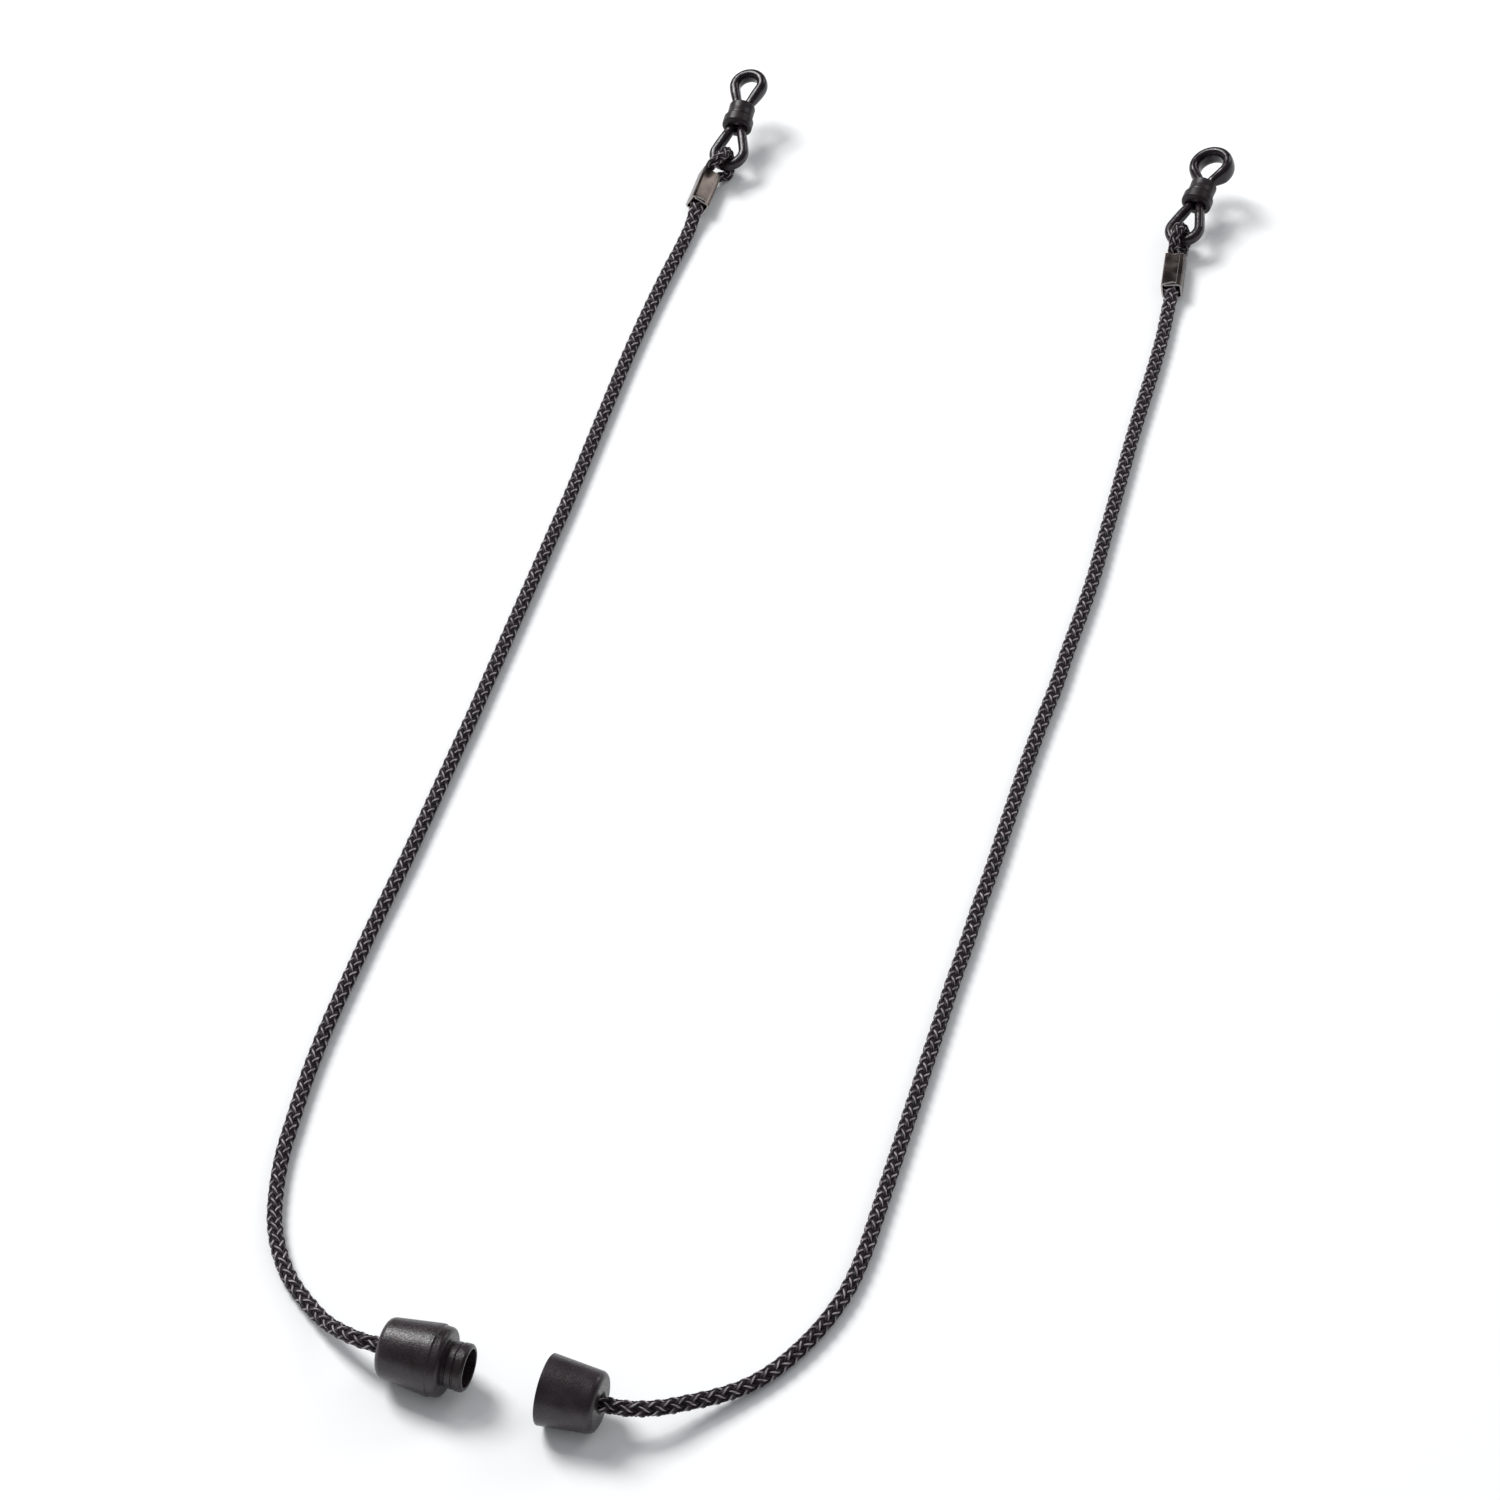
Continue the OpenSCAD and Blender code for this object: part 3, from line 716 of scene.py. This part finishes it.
def crimp(side, place):
    """One folded strip, its upper ends cut to a shallow chevron and its broad faces pressed slightly in."""
    line = sheet_path()
    run = np.gradient(line, axis=0)
    run /= np.linalg.norm(run, axis=1)[:, None]
    out = np.stack([-run[:, 1], run[:, 0]], -1) * SHEET_T / 2
    section = np.concatenate([line + out, (line - out)[::-1]])
    x, z = section[:, 0][None, :], section[:, 1][None, :]
    notch = NOTCH_DEPTH * np.clip(1 - np.abs(x) / (CRIMP_W / 2), 0, 1) * (z > 0)
    share = np.linspace(0, 1, 33)[:, None]
    y = notch + (CRIMP_LEN - 2 * notch) * share
    press = PRESS_DEPTH * np.sin(pi * share) ** 0.7 * (1 - (x / (CRIMP_W / 2)) ** 2)
    rings = np.stack([x + 0 * y, y, z - np.sign(z) * press * (np.abs(z) > CRIMP_T / 4)], -1)
    vertices, faces = tube(rings)
    columns = section.shape[0]
    # The strip's long edges and its two ends take the pale material, a painted highlight along the edges
    sheared = [len(faces) - 2, len(faces) - 1]
    sheared += [k for k in range(len(faces) - 2) if k % columns in (len(line) - 1, columns - 1)]
    glint_material_index = np.isin(np.arange(len(faces)), sheared).astype(int)
    piece = mesh_object(f"{side}_folded_crimp", vertices, faces, [BLACK_NICKEL, EDGE_PAINTED_GLINT], glint_material_index)
    piece.data.transform(place)
    bevel = piece.modifiers.new("worn_edges", "BEVEL")
    bevel.width = 0.06 * MM
    bevel.segments = 2
    bevel.limit_method = "ANGLE"
    bevel.angle_limit = radians(50)
    bevel.harden_normals = True
    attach(piece, f"{side}_strap")
    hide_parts(f"{side}_crimp")


# ---------------------------------------------------------------- rubber fittings

def lean(r, height):
    """Angle in degrees by which a strand leans out between the neck and a round end at that height."""
    across = STRAND_OFFSET + FILLET_R
    return np.degrees(np.arctan2(height, across) - np.arccos((r + FILLET_R) / np.hypot(across, height)))


def loop_line(r, height, neck):
    """Half-open loop in the fitting's plane: up one strand from -neck, round the end and back down."""
    a = lean(r, height)
    right = [(STRAND_OFFSET, -neck)]
    right += arc((STRAND_OFFSET + FILLET_R, 0), FILLET_R, 180, 180 - a, 8)
    left = [(-x, y) for x, y in reversed(right)]
    return right + arc((0, height), r, -a, 180 + a, 40) + left


def rubber_band(name, fitting, line, growth):
    """The band's rounded section swept along a line in the fitting's plane."""
    section = []
    for k in range(BAND_SIDES):
        c, s = cos(tau * k / BAND_SIDES), sin(tau * k / BAND_SIDES)
        size = (abs(c) ** BAND_SQUARENESS + abs(s) ** BAND_SQUARENESS) ** (-1 / BAND_SQUARENESS)
        section.append((BAND_T / 2 * size * c, BAND_W / 2 * size * s))
    normal = fitting.to_3x3() @ Vector((0, 0, 1))
    track = Track([fitting @ Vector((x, y, 0)) for x, y in line], first_side=normal)
    return sweep(name, track, section, growth, LOOP_RUBBER)


def fitting(side, place, temple_r, temple_width):
    """One fitting: small loop, retaining ring, cinch sleeve and the temple loop that the sleeve tightens."""
    neck_len = NECK_SPLIT - NECK_FROM
    small = [(x, NECK_FROM - y) for x, y in loop_line(SMALL_R, NECK_FROM - SMALL_R, neck_len)]
    lower = rubber_band(f"{side}_small_loop", place, small, (neck_len, 3 * MM, 1.08, 1.1))
    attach(lower, f"{side}_loop")
    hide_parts(f"{side}_rubber_loop")

    height = TEMPLE_HEIGHT - temple_r - BAND_T / 2
    start = NECK_TO - NECK_SPLIT - JOIN_GAP
    temple = [(x, NECK_TO + y) for x, y in loop_line(temple_r, height, start)]
    growth = (0.2 * MM, 4 * MM, 1.15, temple_width / BAND_W)
    upper = rubber_band(f"{side}_temple_loop", place, temple, growth)
    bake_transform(upper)
    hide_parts(f"{side}_rubber_loop")

    neck = place @ Matrix.Rotation(-pi / 2, 4, "X")
    ring_at = neck @ Matrix.Translation((0, 0, NECK_FROM))
    bore = (BORE_HALF_W, BORE_HALF_H, BORE_R)
    ring = turned(
        f"{side}_bulged_ring", ring_at, RING_OUTLINE, COLLAR_RUBBER, segments=96, hole=(*bore, RING_R),
    )
    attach(ring, f"{side}_loop")
    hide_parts(f"{side}_retaining_ring")

    sleeve_at = neck @ Matrix.Translation((0, 0, SLEEVE_FROM))
    sleeve = turned(
        f"{side}_sleeve", sleeve_at, SLEEVE_OUTLINE, COLLAR_RUBBER, segments=96, hole=(*bore, SLEEVE_R),
    )
    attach(sleeve, f"{side}_cinch")
    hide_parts(f"{side}_cinch_sleeve")


# ---------------------------------------------------------------- studio

def area_light(name, direction, size, watts):
    """A square white light that faces the camera's target from a direction."""
    data = bpy.data.lights.new(name, "AREA")
    data.size = size
    data.energy = watts
    obj = bpy.data.objects.new(name, data)
    way = Vector(direction).normalized()
    obj.location = CAMERA_TARGET + way * LIGHT_DISTANCE
    obj.rotation_mode = "QUATERNION"
    obj.rotation_quaternion = (-way).to_track_quat("-Z", "Y")
    bpy.context.scene.collection.objects.link(obj)


def paper_floor():
    material = bpy.data.materials.new("paper_floor")
    material.use_nodes = True
    shader = material.node_tree.nodes["Principled BSDF"]
    shader.inputs["Base Color"].default_value = (0.9, 0.9, 0.9, 1)
    shader.inputs["Roughness"].default_value = 0.9
    shader.inputs["Specular IOR Level"].default_value = 0.1
    half = FLOOR_SIZE / 2
    corners = [(-half, -half, 0), (half, -half, 0), (half, half, 0), (-half, half, 0)]
    floor = mesh_object("floor", corners, [(0, 1, 2, 3)], [material])


def studio():
    """Soft light all round, dimmer in reflections so that the black parts stay dark, and three lamps."""
    world = bpy.data.worlds.new("studio")
    world.use_nodes = True
    tree = world.node_tree
    background = tree.nodes["Background"]
    background.inputs["Color"].default_value = (0.93, 0.965, 1, 1)
    rays = tree.nodes.new("ShaderNodeLightPath")
    dim = tree.nodes.new("ShaderNodeMapRange")
    dim.inputs["To Min"].default_value = ROOM_LIGHT
    dim.inputs["To Max"].default_value = ROOM_REFLECTION
    tree.links.new(rays.outputs["Is Glossy Ray"], dim.inputs["Value"])
    tree.links.new(dim.outputs["Result"], background.inputs["Strength"])
    bpy.context.scene.world = world
    area_light("key", (-0.6, 0.28, 0.75), size=1.2, watts=84)
    area_light("spark", (-0.35, 0.1, 0.9), size=0.25, watts=4.5)
    area_light("rim", (0.44, 0.75, 0.49), size=1.15, watts=13)
    bpy.context.scene.view_settings.view_transform = "Standard"


camera()
cord("left", LEFT_ROUTE, LEFT_CRIMP)
cord("right", RIGHT_ROUTE, RIGHT_CRIMP)
cord_eye("left", LEFT_CRIMP, LEFT_FITTING)
cord_eye("right", RIGHT_CRIMP, RIGHT_FITTING)
cord_knot("left", PLUG_X + (PLUG_WALL + KNOT_GAP) * MM, 1)
cord_knot("right", SOCKET_X + (SOCKET_FLOOR - KNOT_GAP) * MM, -1)
clasp()
crimp("left", LEFT_CRIMP)
crimp("right", RIGHT_CRIMP)
fitting("left", LEFT_FITTING, temple_r=3 * MM, temple_width=3.1 * MM)
fitting("right", RIGHT_FITTING, temple_r=3.7 * MM, temple_width=4 * MM)
paper_floor()
studio()
